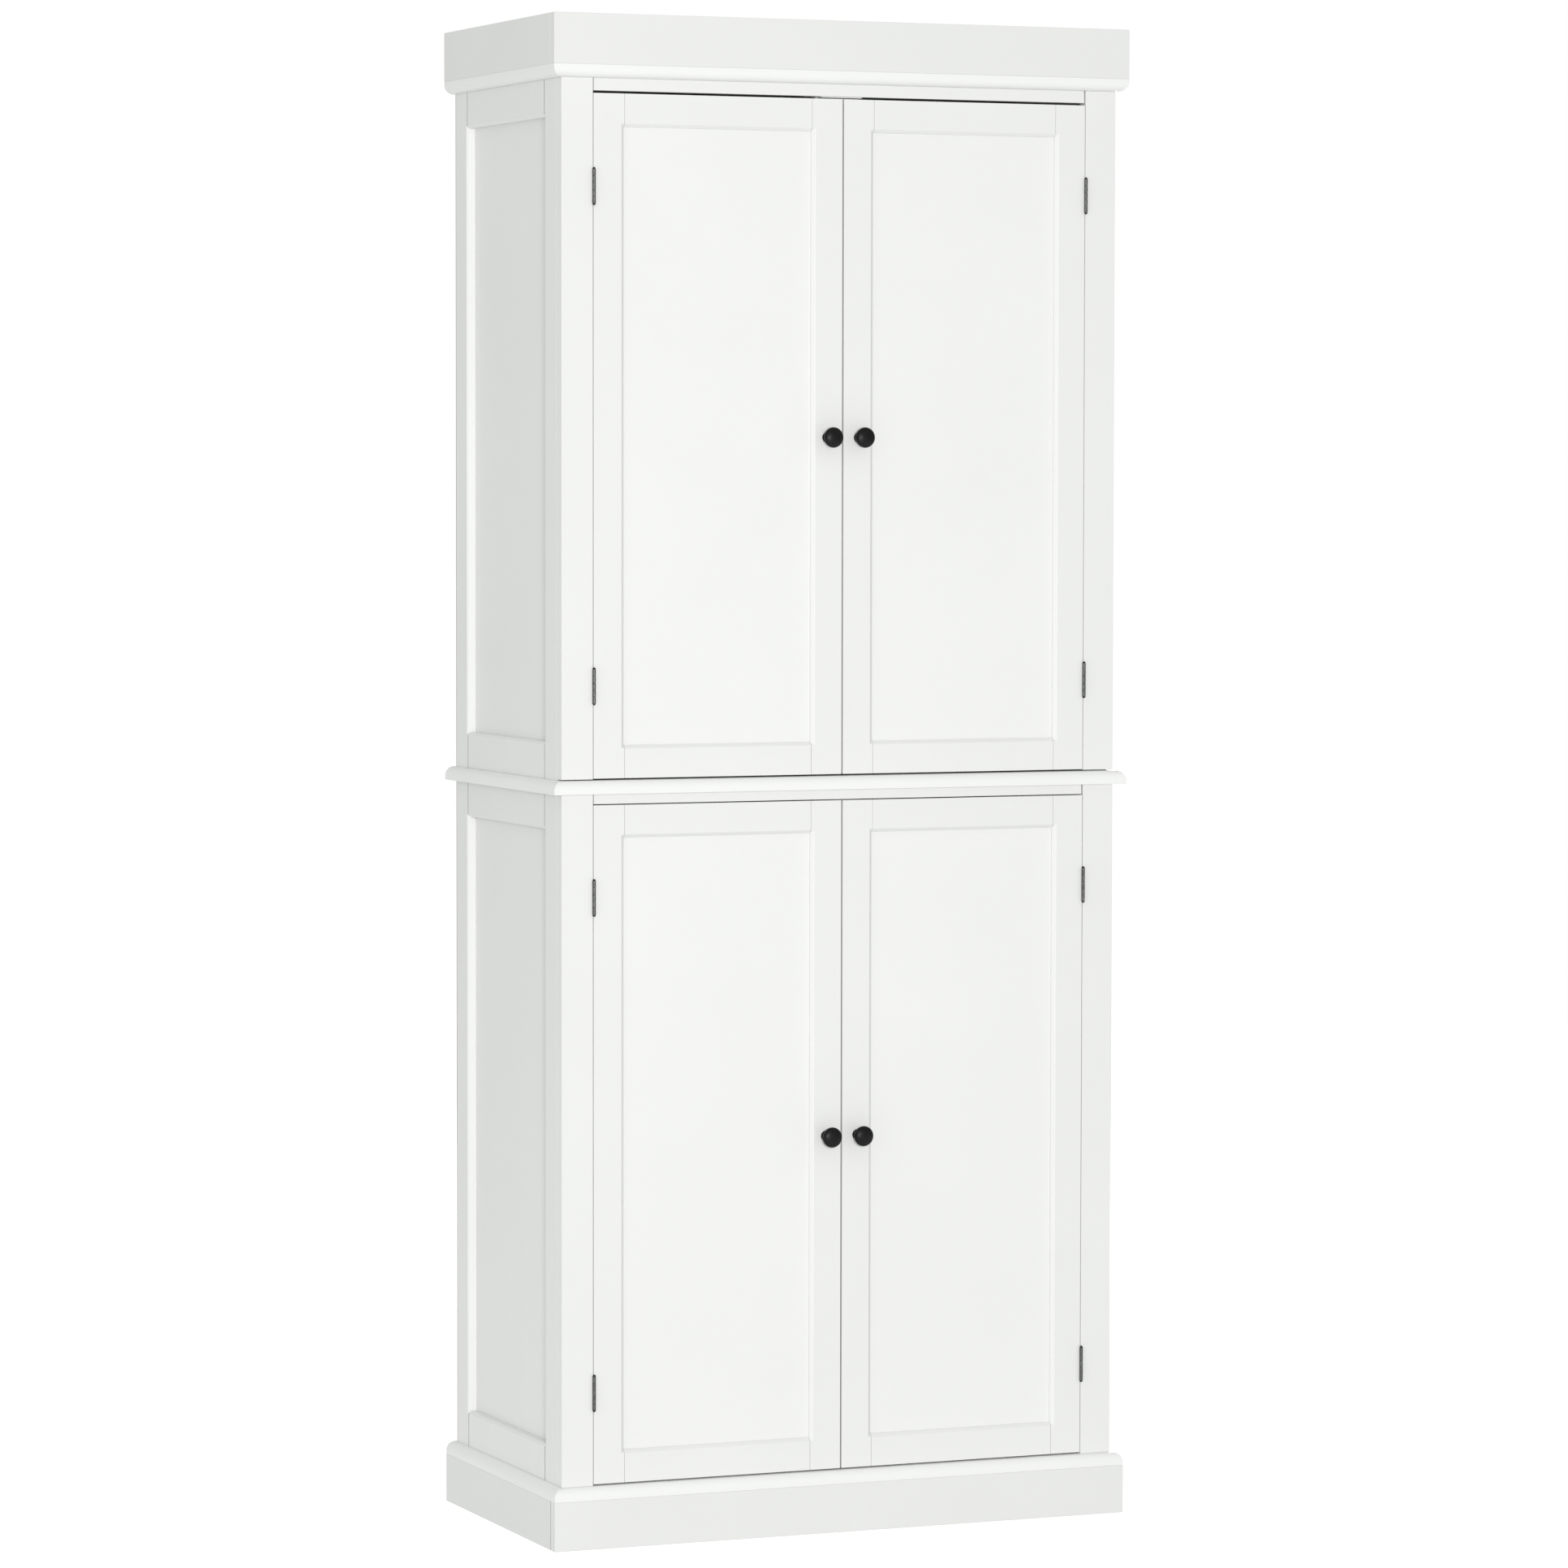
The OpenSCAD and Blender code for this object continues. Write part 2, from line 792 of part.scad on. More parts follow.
plinth_front();
plinth_sides();
plinth_back();
corner_blocks();
base_board();
lower_front_stiles();
lower_side_frame(-1);  // lower_left_side_frame
lower_side_frame(1);  // lower_right_side_frame
lower_side_panel(-1);  // lower_left_side_panel
lower_side_panel(1);  // lower_right_side_panel
lower_top_rails();
lower_back_panel();
waist_board();
upper_front_stiles();
upper_side_frame(-1);  // upper_left_side_frame
upper_side_frame(1);  // upper_right_side_frame
upper_side_panel(-1);  // upper_left_side_panel
upper_side_panel(1);  // upper_right_side_panel
upper_top_rails();
upper_back_panel();
joint_filler();
crown_board();
frieze_front();
frieze_sides();
frieze_back();
shelf(lower_shelf_z);  // lower_shelf
shelf(middle_shelf_z);  // middle_shelf
shelf(top_shelf_z);  // top_shelf
shelf_pins();
magnetic_catches();
catch_magnets();
hinge_frame_leaves();
hinge_pins();
carcass_screws();
back_panel_nails();
dowels();
door_frame_at(-1, lower_door_z, lower_door_h);  // lower_left_door_frame
door_panel_at(-1, lower_door_z, lower_door_h);  // lower_left_door_panel
knob_at(-1, lower_door_z, lower_door_h);  // lower_left_knob
hinge_leaves_at(-1, lower_door_z, lower_door_h);  // lower_left_hinge_leaves
strike_plate_at(-1, lower_door_z, lower_door_h);  // lower_left_strike_plate
door_screws_at(-1, lower_door_z, lower_door_h);  // lower_left_door_screws
door_frame_at(1, lower_door_z, lower_door_h);  // lower_right_door_frame
door_panel_at(1, lower_door_z, lower_door_h);  // lower_right_door_panel
knob_at(1, lower_door_z, lower_door_h);  // lower_right_knob
hinge_leaves_at(1, lower_door_z, lower_door_h);  // lower_right_hinge_leaves
strike_plate_at(1, lower_door_z, lower_door_h);  // lower_right_strike_plate
door_screws_at(1, lower_door_z, lower_door_h);  // lower_right_door_screws
door_frame_at(-1, upper_door_z, upper_door_h);  // upper_left_door_frame
door_panel_at(-1, upper_door_z, upper_door_h);  // upper_left_door_panel
knob_at(-1, upper_door_z, upper_door_h);  // upper_left_knob
hinge_leaves_at(-1, upper_door_z, upper_door_h);  // upper_left_hinge_leaves
strike_plate_at(-1, upper_door_z, upper_door_h);  // upper_left_strike_plate
door_screws_at(-1, upper_door_z, upper_door_h);  // upper_left_door_screws
door_frame_at(1, upper_door_z, upper_door_h);  // upper_right_door_frame
door_panel_at(1, upper_door_z, upper_door_h);  // upper_right_door_panel
knob_at(1, upper_door_z, upper_door_h);  // upper_right_knob
hinge_leaves_at(1, upper_door_z, upper_door_h);  // upper_right_hinge_leaves
strike_plate_at(1, upper_door_z, upper_door_h);  // upper_right_strike_plate
door_screws_at(1, upper_door_z, upper_door_h);  // upper_right_door_screws
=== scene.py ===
"""Pantry cabinet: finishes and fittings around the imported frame, a studio and a camera."""

import json
import math

import bmesh
import bpy
from mathutils import Matrix, Vector


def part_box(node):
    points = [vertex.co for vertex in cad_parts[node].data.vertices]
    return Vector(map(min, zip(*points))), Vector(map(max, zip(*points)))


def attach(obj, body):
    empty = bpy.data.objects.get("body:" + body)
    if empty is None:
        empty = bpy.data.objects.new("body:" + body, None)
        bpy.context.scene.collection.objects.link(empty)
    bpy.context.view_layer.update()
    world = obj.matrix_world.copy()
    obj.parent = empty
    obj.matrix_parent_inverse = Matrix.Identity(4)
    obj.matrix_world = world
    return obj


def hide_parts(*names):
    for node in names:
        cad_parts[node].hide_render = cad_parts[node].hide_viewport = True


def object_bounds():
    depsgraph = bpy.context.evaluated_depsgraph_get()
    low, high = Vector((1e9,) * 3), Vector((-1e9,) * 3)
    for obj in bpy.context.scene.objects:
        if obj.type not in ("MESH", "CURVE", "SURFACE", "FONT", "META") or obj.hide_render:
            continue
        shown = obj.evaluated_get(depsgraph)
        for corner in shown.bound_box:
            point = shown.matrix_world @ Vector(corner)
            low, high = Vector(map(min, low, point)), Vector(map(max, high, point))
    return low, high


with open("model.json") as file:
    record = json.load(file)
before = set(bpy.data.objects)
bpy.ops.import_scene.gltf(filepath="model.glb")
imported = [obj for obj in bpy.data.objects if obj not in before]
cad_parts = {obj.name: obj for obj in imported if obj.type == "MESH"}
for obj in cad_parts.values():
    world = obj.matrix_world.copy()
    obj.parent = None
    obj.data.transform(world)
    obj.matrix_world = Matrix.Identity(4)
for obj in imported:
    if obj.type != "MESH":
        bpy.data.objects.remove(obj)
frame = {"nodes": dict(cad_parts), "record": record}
cad_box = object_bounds()
nodes = frame["nodes"]

MM = 0.001
DOORS = ("lower_left", "lower_right", "upper_left", "upper_right")


# ---- camera ----

CAMERA_PLACE = (-2.9157, -7.0665, 1.3202)
CAMERA_YAW = 22.401
CAMERA_PITCH = -3.025
CAMERA_ROLL = 0.088
CAMERA_LENS = 139.8


def make_camera():
    """The camera stands in front of the cabinet, to its left, and looks slightly down."""
    data = bpy.data.cameras.new("camera")
    data.lens = CAMERA_LENS
    data.sensor_width = 36
    data.clip_end = 100
    camera = bpy.data.objects.new("camera", data)
    aim = Matrix.Rotation(-math.radians(CAMERA_YAW), 4, "Z") @ Matrix.Rotation(
        math.radians(90 + CAMERA_PITCH), 4, "X"
    )
    roll = Matrix.Rotation(math.radians(CAMERA_ROLL), 4, "Z")
    camera.matrix_world = Matrix.Translation(CAMERA_PLACE) @ aim @ roll
    bpy.context.scene.collection.objects.link(camera)
    bpy.context.scene.camera = camera


# ---- materials ----

# a Mix node's sockets for colours
COLOUR_A = 6
COLOUR_B = 7
COLOUR_RESULT = 2


def new_material(name):
    """A material with its Principled shader, and its node tree."""
    material = bpy.data.materials.new(name)
    material.use_nodes = True
    return material, material.node_tree, material.node_tree.nodes["Principled BSDF"]


def node(tree, kind, values=None, **settings):
    """A shader node with its settings and its unlinked inputs."""
    made = tree.nodes.new(kind)
    for key, value in settings.items():
        setattr(made, key, value)
    for key, value in (values or {}).items():
        made.inputs[key].default_value = value
    return made


def place_in_metres(tree, stretch=(1, 1, 1)):
    """The place on the surface, in the object's own metres, stretched along its axes."""
    coordinates = node(tree, "ShaderNodeTexCoord")
    mapping = node(tree, "ShaderNodeMapping", {"Scale": stretch})
    tree.links.new(coordinates.outputs["Object"], mapping.inputs["Vector"])
    return mapping.outputs["Vector"]


def noise(tree, place, scale, detail=3, roughness=0.5, distortion=0):
    made = node(
        tree,
        "ShaderNodeTexNoise",
        {"Scale": scale, "Detail": detail, "Roughness": roughness, "Distortion": distortion},
    )
    tree.links.new(place, made.inputs["Vector"])
    return made.outputs["Fac"]


def ramp(tree, factor, stops):
    """Colours along a factor from 0 to 1."""
    made = node(tree, "ShaderNodeValToRGB")
    elements = made.color_ramp.elements
    while len(elements) < len(stops):
        elements.new(0.5)
    for element, (position, colour) in zip(elements, stops):
        element.position = position
        element.color = (*colour, 1)
    tree.links.new(factor, made.inputs["Fac"])
    return made.outputs["Color"]


def spread(tree, factor, low, high):
    """A factor from 0 to 1, mapped to the range from low to high."""
    made = node(tree, "ShaderNodeMapRange", {"To Min": low, "To Max": high})
    tree.links.new(factor, made.inputs["Value"])
    return made.outputs["Result"]


def mixed(tree, factor, first, second):
    """One colour, given as three numbers, mixed with the colour of a socket."""
    made = node(tree, "ShaderNodeMix", {COLOUR_A: (*first, 1)}, data_type="RGBA")
    tree.links.new(factor, made.inputs["Factor"])
    tree.links.new(second, made.inputs[COLOUR_B])
    return made.outputs[COLOUR_RESULT]


def bump(tree, height, strength, distance, under=None):
    made = node(tree, "ShaderNodeBump", {"Strength": strength, "Distance": distance})
    tree.links.new(height, made.inputs["Height"])
    if under is not None:
        tree.links.new(under, made.inputs["Normal"])
    return made.outputs["Normal"]


def white_paint(name, tones):
    """Satin paint on fibreboard: faint orange peel, faint broad waves and a few dust nibs."""
    material, tree, shader = new_material(name)
    place = place_in_metres(tree)
    tone = noise(tree, place, 5, 4, 0.6)
    colour = ramp(tree, tone, [(0.3, tones[0]), (0.7, tones[1])])
    tree.links.new(colour, shader.inputs["Base Color"])
    tree.links.new(spread(tree, noise(tree, place, 60), 0.38, 0.5), shader.inputs["Roughness"])
    peel = bump(tree, noise(tree, place, 420, 2), 0.16, 0.0002)
    nibs = bump(tree, noise(tree, place, 1500, 1), 0.05, 0.0001, peel)
    tree.links.new(nibs, shader.inputs["Normal"])
    shader.inputs["Specular IOR Level"].default_value = 0.4
    return material


def back_board():
    """Thin hardboard: a white face inside the cabinet, and bare pressed fibre behind."""
    material, tree, shader = new_material("back_board")
    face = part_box("lower_back_panel")[0].y
    place = place_in_metres(tree)
    fibre = noise(tree, place, 900, 6, 0.7, 1.5)
    flecks = ramp(
        tree,
        fibre,
        [(0.3, (0.17, 0.095, 0.05)), (0.55, (0.29, 0.18, 0.1)), (0.75, (0.42, 0.28, 0.17))],
    )
    clouds = spread(tree, noise(tree, place, 4, 6, 0.65), -0.1, 1.6)
    board = mixed(tree, clouds, (0.17, 0.105, 0.06), flecks)
    depth = node(tree, "ShaderNodeSeparateXYZ")
    tree.links.new(place, depth.inputs["Vector"])
    behind = node(
        tree,
        "ShaderNodeMapRange",
        {"From Min": face + 0.4 * MM, "From Max": face + 0.6 * MM},
    )
    tree.links.new(depth.outputs["Y"], behind.inputs["Value"])
    colour = mixed(tree, behind.outputs["Result"], PAINT_TONES[1], board)
    tree.links.new(colour, shader.inputs["Base Color"])
    tree.links.new(spread(tree, fibre, 0.55, 0.8), shader.inputs["Roughness"])
    tree.links.new(bump(tree, fibre, 0.25, 0.0002), shader.inputs["Normal"])
    return material


def raw_wood():
    """Planed pine, its grain upright."""
    material, tree, shader = new_material("raw_wood")
    place = place_in_metres(tree, (1, 1, 0.06))
    rings = node(
        tree,
        "ShaderNodeTexWave",
        {"Scale": 45, "Distortion": 6, "Detail": 3, "Detail Scale": 1.5},
        wave_type="RINGS",
    )
    tree.links.new(place, rings.inputs["Vector"])
    grain = ramp(
        tree,
        rings.outputs["Fac"],
        [(0.1, (0.60, 0.40, 0.20)), (0.6, (0.72, 0.53, 0.30)), (0.95, (0.48, 0.28, 0.12))],
    )
    tree.links.new(grain, shader.inputs["Base Color"])
    fibres = noise(tree, place, 1400, 4, 0.6)
    tree.links.new(spread(tree, fibres, 0.5, 0.75), shader.inputs["Roughness"])
    tree.links.new(bump(tree, fibres, 0.2, 0.0002), shader.inputs["Normal"])
    return material


def black_metal():
    """Satin black paint on cast metal, with a fine texture in the paint."""
    material, tree, shader = new_material("black_metal")
    place = place_in_metres(tree)
    tone = noise(tree, place, 260, 3)
    colour = ramp(tree, tone, [(0.3, (0.005, 0.005, 0.0052)), (0.75, (0.009, 0.009, 0.0093))])
    tree.links.new(colour, shader.inputs["Base Color"])
    tree.links.new(spread(tree, noise(tree, place, 700), 0.34, 0.44), shader.inputs["Roughness"])
    tree.links.new(bump(tree, noise(tree, place, 2600, 2), 0.12, 0.0001), shader.inputs["Normal"])
    shader.inputs["Specular IOR Level"].default_value = 0.15
    return material


def hinge_steel():
    """Dark grey plated steel, brushed along the hinge's length and mottled."""
    material, tree, shader = new_material("hinge_steel")
    brushed = noise(tree, place_in_metres(tree, (1, 1, 0.03)), 3200, 3, 0.6)
    patches = noise(tree, place_in_metres(tree), 220, 3)
    colour = ramp(tree, patches, [(0.35, (0.08, 0.082, 0.08)), (0.7, (0.125, 0.128, 0.125))])
    tree.links.new(colour, shader.inputs["Base Color"])
    shader.inputs["Metallic"].default_value = 1
    tree.links.new(spread(tree, patches, 0.3, 0.48), shader.inputs["Roughness"])
    tree.links.new(bump(tree, brushed, 0.2, 0.00005), shader.inputs["Normal"])
    return material


def zinc_steel():
    """Bright zinc plate with faint mottling."""
    material, tree, shader = new_material("zinc_steel")
    place = place_in_metres(tree)
    mottle = noise(tree, place, 900, 4, 0.65)
    colour = ramp(tree, mottle, [(0.3, (0.52, 0.53, 0.55)), (0.7, (0.72, 0.72, 0.71))])
    tree.links.new(colour, shader.inputs["Base Color"])
    shader.inputs["Metallic"].default_value = 1
    tree.links.new(spread(tree, mottle, 0.24, 0.42), shader.inputs["Roughness"])
    tree.links.new(bump(tree, noise(tree, place, 3000, 2), 0.1, 0.00005), shader.inputs["Normal"])
    return material


def white_plastic():
    """Moulded white plastic with a fine spark-eroded texture."""
    material, tree, shader = new_material("white_plastic")
    place = place_in_metres(tree)
    tone = noise(tree, place, 120, 3)
    colour = ramp(tree, tone, [(0.3, (0.77, 0.77, 0.745)), (0.7, (0.82, 0.82, 0.80))])
    tree.links.new(colour, shader.inputs["Base Color"])
    tree.links.new(spread(tree, tone, 0.34, 0.46), shader.inputs["Roughness"])
    tree.links.new(bump(tree, noise(tree, place, 3500, 2), 0.15, 0.00008), shader.inputs["Normal"])
    return material


def joint_filler():
    """Dark grey filler, matt and slightly grainy; partly the joints' own dark and partly painted
    shade for the open joints in the side frames.
    """
    material, tree, shader = new_material("joint_filler")
    place = place_in_metres(tree)
    grain = noise(tree, place, 1500, 4, 0.7)
    # near-black tone: painted shade inside the open joints, along with the joints' own dark
    colour = ramp(tree, grain, [(0.3, (0.03, 0.03, 0.031)), (0.7, (0.055, 0.055, 0.056))])
    tree.links.new(colour, shader.inputs["Base Color"])
    tree.links.new(spread(tree, grain, 0.75, 0.95), shader.inputs["Roughness"])
    tree.links.new(bump(tree, grain, 0.3, 0.0001), shader.inputs["Normal"])
    shader.inputs["Specular IOR Level"].default_value = 0.1
    return material


def magnet_ferrite():
    """Dark pressed ferrite."""
    material, tree, shader = new_material("magnet")
    place = place_in_metres(tree)
    grit = noise(tree, place, 1800, 4, 0.7)
    colour = ramp(tree, grit, [(0.3, (0.016, 0.016, 0.018)), (0.7, (0.05, 0.05, 0.053))])
    tree.links.new(colour, shader.inputs["Base Color"])
    shader.inputs["Metallic"].default_value = 0.4
    tree.links.new(spread(tree, grit, 0.45, 0.65), shader.inputs["Roughness"])
    tree.links.new(bump(tree, grit, 0.2, 0.0001), shader.inputs["Normal"])
    return material


# the panel and moulding tones are lighter copies of the white paint, painted light on the door
# panels and rounded boards; the ring tones are a greyer copy, painted shade on the plinth and
# frieze
PAINT_TONES = ((0.77, 0.77, 0.765), (0.785, 0.785, 0.78))
PANEL_PAINTED_LIGHT_TONES = ((0.795, 0.795, 0.79), (0.81, 0.81, 0.805))
RING_PAINTED_SHADE_TONES = ((0.745, 0.745, 0.74), (0.76, 0.76, 0.755))
MOULDING_PAINTED_LIGHT_TONES = ((0.825, 0.825, 0.82), (0.84, 0.84, 0.835))

MATERIALS = {
    "white_paint": white_paint("white_paint", PAINT_TONES),
    "back_board": back_board(),
    "raw_wood": raw_wood(),
    "black_metal": black_metal(),
    "hinge_steel": hinge_steel(),
    "zinc_steel": zinc_steel(),
    "white_plastic": white_plastic(),
    "joint_filler": joint_filler(),
    "magnet": magnet_ferrite(),
}


# ---- carried-over CAD nodes ----


def soften(obj, width, segments):
    """Rounds a CAD part's edges: joins its faces, drops flat triangles, then bevels."""
    weld = obj.modifiers.new("weld", "WELD")
    weld.merge_threshold = 0.00001
    flat = obj.modifiers.new("flat_faces", "DECIMATE")
    flat.decimate_type = "DISSOLVE"
    flat.angle_limit = math.radians(1)
    bevel = obj.modifiers.new("soft_edges", "BEVEL")
    bevel.width = width
    bevel.segments = segments
    bevel.limit_method = "ANGLE"
    bevel.angle_limit = math.radians(30)
    bevel.use_clamp_overlap = False
    normals = obj.modifiers.new("normals", "WEIGHTED_NORMAL")
    normals.weight = 80


EDGE_RADIUS = {
    "white_paint": 0.5 * MM,
    "back_board": 0.2 * MM,
    "raw_wood": 0.6 * MM,
    "black_metal": 0.2 * MM,
    "hinge_steel": 0.2 * MM,
    "zinc_steel": 0.2 * MM,
    "white_plastic": 0.4 * MM,
    "joint_filler": 0.05 * MM,
    "magnet": 0.3 * MM,
}
EDGE_SEGMENTS = 3


def finish_cad_nodes():
    """Gives every CAD part its material and its edges.

    The doors' panels and the rounded boards take a lighter copy of the paint, painted light, and
    the plinth and the frieze a greyer copy, painted shade.
    """
    # a greyer copy of the white paint: painted shade on the plinth and the frieze
    ring_painted_shade = white_paint("ring_painted_shade", RING_PAINTED_SHADE_TONES)
    # the door panels and rounded boards get lighter copies of the paint as painted light, the
    # plinth and frieze the greyer copy as painted shade
    painted_light_coats = {
        "door_panel": white_paint("panel_painted_light", PANEL_PAINTED_LIGHT_TONES),
        "_board": white_paint("moulding_painted_light", MOULDING_PAINTED_LIGHT_TONES),
        "plinth_": ring_painted_shade,
        "frieze_": ring_painted_shade,
    }
    for part in frame["record"]["subparts"]:
        obj = nodes[part["node"]]
        slot = part["material_slot"]
        finish = MATERIALS[slot]
        for mark, paint in painted_light_coats.items():
            if mark in part["node"]:
                finish = paint
        obj.data.materials.clear()
        obj.data.materials.append(finish)
        soften(obj, EDGE_RADIUS[slot], EDGE_SEGMENTS)


# ---- turned and threaded pieces ----

SHARP = math.radians(35)


def add_turned(build, outline, sides, place):
    """Adds a closed turned solid: (radius, height) pairs that start and end on the axis."""
    turns = [2 * math.pi * i / sides for i in range(sides)]
    rings = []
    for radius, height in outline:
        around = turns if radius > 0 else turns[:1]
        spots = [Vector((radius * math.cos(a), radius * math.sin(a), height)) for a in around]
        rings.append([build.verts.new(place @ spot) for spot in spots])
    for low, high in zip(rings, rings[1:]):
        for i in range(sides):
            j = (i + 1) % sides
            corners = [low[i % len(low)], low[j % len(low)]]
            corners += [high[j % len(high)], high[i % len(high)]]
            build.faces.new(list(dict.fromkeys(corners)))


def smooth_mesh(name, build):
    """The finished mesh, with smooth faces that stay crisp at sharp edges."""
    bmesh.ops.recalc_face_normals(build, faces=build.faces)
    for face in build.faces:
        face.smooth = True
    for edge in build.edges:
        edge.smooth = edge.calc_face_angle(0) < SHARP
    mesh = bpy.data.meshes.new(name)
    build.to_mesh(mesh)
    build.free()
    return mesh


def add_copy(build, template, place):
    """Adds a copy of a mesh, moved and turned."""
    first = len(build.verts)
    build.from_mesh(template)
    build.verts.ensure_lookup_table()
    bmesh.ops.transform(build, matrix=place, verts=build.verts[first:])


def new_piece(name, mesh, body, slot, *replaced):
    """A piece that rides on a body and stands for CAD nodes."""
    mesh.materials.append(MATERIALS[slot])
    piece = bpy.data.objects.new(name, mesh)
    bpy.context.scene.collection.objects.link(piece)
    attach(piece, body)
    if replaced:
        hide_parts(*replaced)
    return piece


def curve_through(points, steps):
    """A smooth outline through points, level where it ends on the axis."""
    last = points[-2]
    chain = [points[0], *points, (-last[0], last[1])]
    outline = []
    for a, b, c, d in zip(chain, chain[1:], chain[2:], chain[3:]):
        for i in range(steps):
            t = i / steps
            outline.append(
                tuple(
                    0.5
                    * (
                        2 * q
                        + (r - p) * t
                        + (2 * p - 5 * q + 4 * r - s) * t**2
                        + (3 * q - p - 3 * r + s) * t**3
                    )
                    for p, q, r, s in zip(a, b, c, d)
                )
            )
    return [*outline, points[-1]]


def in_metres(outline):
    return [(radius * MM, height * MM) for radius, height in outline]


KNOB_HOLE = [(0, 12), (2.05, 12), (2.05, 0)]
KNOB_FOOT = [(6.2, 0), (6.5, 0.2), (6.6, 0.5), (6.6, 0.9), (6.4, 1.2)]
KNOB_CURVE = [
    (6.0, 1.5),
    (5.3, 4.0),
    (5.3, 8.0),
    (6.6, 13.0),
    (9.6, 16.6),
    (11.8, 18.5),
    (12.5, 20.8),
    (11.9, 23.0),
    (9.8, 24.9),
    (5.2, 26.5),
    (0, 27),
]
KNOB_STEPS = 6
KNOB_SIDES = 72


def face_front(place):
    """A place whose height axis points out of the front."""
    return Matrix.Translation(place) @ Matrix.Rotation(math.radians(90), 4, "X")


def make_knobs():
    """Turned knobs: a small foot, a waisted neck and a domed head with a soft rim."""
    outline = in_metres([*KNOB_HOLE, *KNOB_FOOT, *curve_through(KNOB_CURVE, KNOB_STEPS)])
    for door in DOORS:
        low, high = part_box(door + "_knob")
        build = bmesh.new()
        middle = Vector(((low.x + high.x) / 2, high.y, (low.z + high.z) / 2))
        add_turned(build, outline, KNOB_SIDES, face_front(middle))
        mesh = smooth_mesh(door + "_turned_knob", build)
        new_piece(door + "_turned_knob", mesh, door + "_door", "black_metal", door + "_knob")


RECESS_ARM = 0.62
RECESS_WIDTH = 0.15
RECESS_DEPTH = 0.45
THREAD_PITCH = 1.1 * MM
THREAD_DEPTH = 0.22
THREAD_STEPS = 4
SCREW_SIDES = 16


def cross_outline(arm, half):
    """The twelve corners of a cross."""
    quarter = [(half, half), (half, arm), (-half, arm)]
    corners = []
    for i in range(4):
        turn = math.pi / 2 * i
        corners += [
            (x * math.cos(turn) - y * math.sin(turn), x * math.sin(turn) + y * math.cos(turn))
            for x, y in quarter
        ]
    return corners


def screw_mesh(name, head, shank, length, thread_from):
    """A screw whose head's face is crossed by a recess; head is an outline, rim first."""
    build = bmesh.new()
    turns = [2 * math.pi * i / SCREW_SIDES for i in range(SCREW_SIDES)]

    def ring(radii, height):
        spots = [(r * math.cos(a), r * math.sin(a), height) for r, a in zip(radii, turns)]
        return [build.verts.new(spot) for spot in spots]

    rings = [ring([radius] * SCREW_SIDES, height) for radius, height in head]
    rings.append(ring([shank] * SCREW_SIDES, thread_from))
    steps = int((length - 2 * shank - thread_from) / THREAD_PITCH * THREAD_STEPS)
    for k in range(1, steps):
        phases = [(k / THREAD_STEPS - i / SCREW_SIDES) % 1 for i in range(SCREW_SIDES)]
        radii = [shank * (1 - THREAD_DEPTH * abs(2 * phase - 1)) for phase in phases]
        rings.append(ring(radii, thread_from + THREAD_PITCH * k / THREAD_STEPS))
    rings.append(ring([shank * (1 - THREAD_DEPTH)] * SCREW_SIDES, length - 2 * shank))
    for low, high in zip(rings, rings[1:]):
        for i in range(SCREW_SIDES):
            j = (i + 1) % SCREW_SIDES
            build.faces.new((low[i], low[j], high[j], high[i]))
    tip = build.verts.new((0, 0, length))
    for i in range(SCREW_SIDES):
        build.faces.new((rings[-1][i], rings[-1][(i + 1) % SCREW_SIDES], tip))

    face_radius, face_height = head[0]
    cross = [
        build.verts.new((x, y, face_height))
        for x, y in cross_outline(face_radius * RECESS_ARM, face_radius * RECESS_WIDTH)
    ]
    deep = build.verts.new((0, 0, face_height + face_radius * RECESS_DEPTH))
    for a, b in zip(cross, cross[1:] + cross[:1]):
        build.faces.new((a, b, deep))
    rim = [e for e in build.edges if e.is_boundary]
    bmesh.ops.triangle_fill(build, edges=rim, use_beauty=True, use_dissolve=False)
    return smooth_mesh(name, build)


HINGE_HALF = 21 * MM
HINGE_SCREW_Z = 13 * MM
BARREL_R = 2.1 * MM
LEAF_X = 0.1 * MM
LEAF_MIDDLE = 7 * MM
CATCH_SCREW_X = 25 * MM
CATCH_H = 13 * MM
CATCH_D = 15 * MM

# how far each kind of screw is turned, in degrees; a catch's depends on its place
HINGE_SPIN = 17
HINGE_SPIN_STEP = 41
STRIKE_SPIN = 30
KNOB_SPIN = 55
CATCH_SPIN = 900

WOOD_SCREW_HEAD = in_metres([(2.5, 0), (2.6, 0.1), (2.55, 0.2), (1.2, 1.5)])
PAN_HEAD = in_metres([(2.6, -2.2), (3.4, -2.0), (3.9, -1.4), (4.0, -0.6), (4.0, 0), (2.0, 0.1)])
HINGE_SCREW = screw_mesh("hinge_screw", WOOD_SCREW_HEAD, 1.2 * MM, 12 * MM, 2 * MM)
CATCH_SCREW = screw_mesh("catch_screw", WOOD_SCREW_HEAD, 1.2 * MM, 20 * MM, 2 * MM)
KNOB_SCREW = screw_mesh("knob_screw", PAN_HEAD, 2 * MM, 30 * MM, 3 * MM)


def turned_along(place, way, spin):
    """A place whose height axis points along way, spun about it by a number of degrees."""
    turn = Vector(way).to_track_quat("Z", "Y").to_matrix().to_4x4()
    return Matrix.Translation(place) @ turn @ Matrix.Rotation(math.radians(spin), 4, "Z")


def leaf_screw_places(door, to_door):
    """Where the four screws of a door's two leaves go, into the door or into the stile."""
    side = 1 if door.endswith("right") else -1
    low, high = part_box(door + "_hinge_leaves")
    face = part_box(door + "_door_frame")[0].y
    axis = high.x - BARREL_R if side > 0 else low.x + BARREL_R
    way = -side if to_door else side
    places = []
    for middle in (low.z + HINGE_HALF, high.z - HINGE_HALF):
        for dz in (-HINGE_SCREW_Z, HINGE_SCREW_Z):
            place = (axis + way * LEAF_X, face + LEAF_MIDDLE, middle + dz)
            spin = HINGE_SPIN + HINGE_SPIN_STEP * len(places)
            places.append(turned_along(place, (way, 0, 0), spin))
    return places


